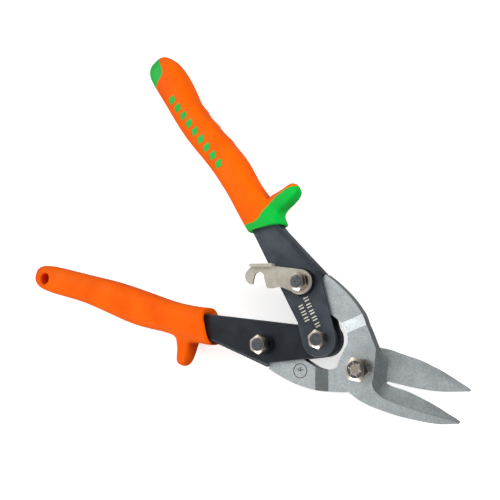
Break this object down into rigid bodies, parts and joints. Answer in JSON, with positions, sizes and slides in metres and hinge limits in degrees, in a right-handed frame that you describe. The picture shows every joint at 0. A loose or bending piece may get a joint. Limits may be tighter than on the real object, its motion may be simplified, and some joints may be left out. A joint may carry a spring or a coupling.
{
  "type": "aviation snips",
  "caption": "Compound-action aviation snips lying open, with offset forged blades, pressed steel handles, moulded two-colour grips and a hook latch.",
  "frame": {"origin": "centre of the pivot bolt's outer head face, on the blade pivot's axis", "axes": "+X from the handle pivot towards the blades, +Y towards the handle that carries the latch, +Z along the pivots towards the latch side"},
  "size_m": [0.2514, 0.1535, 0.028],
  "materials": {
    "forged_jaw": "blasted, satin",
    "black_steel": "black, satin",
    "orange_grip": "fine textured",
    "green_grip": "fine textured",
    "latch_plate": "nickel plated",
    "fastener": "zinc plated",
    "spring_steel": "oiled",
    "plain_steel": "plain"
  },
  "bodies": {
    "lower_arm": {"lower_handle": "black_steel", "lower_grip": "orange_grip", "handle_pivot_bolt": "fastener", "handle_pivot_nut": "fastener", "handle_pivot_sleeve": "plain_steel", "return_spring": "spring_steel", "latch_stud": "fastener", "latch_stud_nut": "fastener", "latch_stud_washer": "fastener"},
    "upper_arm": {"upper_handle": "black_steel", "upper_grip": "orange_grip", "upper_grip_collar": "green_grip", "upper_grip_tip": "green_grip", "upper_grip_inlays": "green_grip", "latch_bolt": "fastener", "latch_nut": "fastener", "latch_bush": "plain_steel", "latch_washer": "fastener"},
    "rear_blade": {"rear_jaw": "forged_jaw", "pivot_bolt": "fastener", "pivot_nut": "fastener", "pivot_washers": "fastener"},
    "front_blade": {"front_jaw": "forged_jaw"},
    "catch": {"latch": "latch_plate"}
  },
  "joints": [
    {"name": "handle_pivot", "type": "hinge", "parent": "lower_arm", "child": "upper_arm", "pos_m": [-0.02637, 0, 0.01255], "axis": [0, 0, 1], "range_deg": [0, 34.5], "stiffness_Nm_per_rad": 1.2, "springref_deg": -28.65, "deforming": ["return_spring"]},
    {"name": "rear_tail_pin", "type": "hinge", "parent": "lower_arm", "child": "rear_blade", "pos_m": [-0.04993, -0.01922, 0.01255], "axis": [0, 0, 1], "range_deg": [0, 8.7]},
    {"name": "blade_pivot", "type": "hinge", "parent": "rear_blade", "child": "front_blade", "pos_m": [0, 0, 0.01255], "axis": [0, 0, 1], "range_deg": [0, 17.5]},
    {"name": "latch_pivot", "type": "hinge", "parent": "upper_arm", "child": "catch", "pos_m": [-0.04993, 0.01922, 0.01255], "axis": [0, 0, 1], "range_deg": [-30, 45.8]}
  ],
  "couplings": [
    {"joint": "rear_tail_pin", "follows": "handle_pivot", "ratio": 0.2483},
    {"joint": "blade_pivot", "follows": "handle_pivot", "ratio": 0.5034}
  ]
}
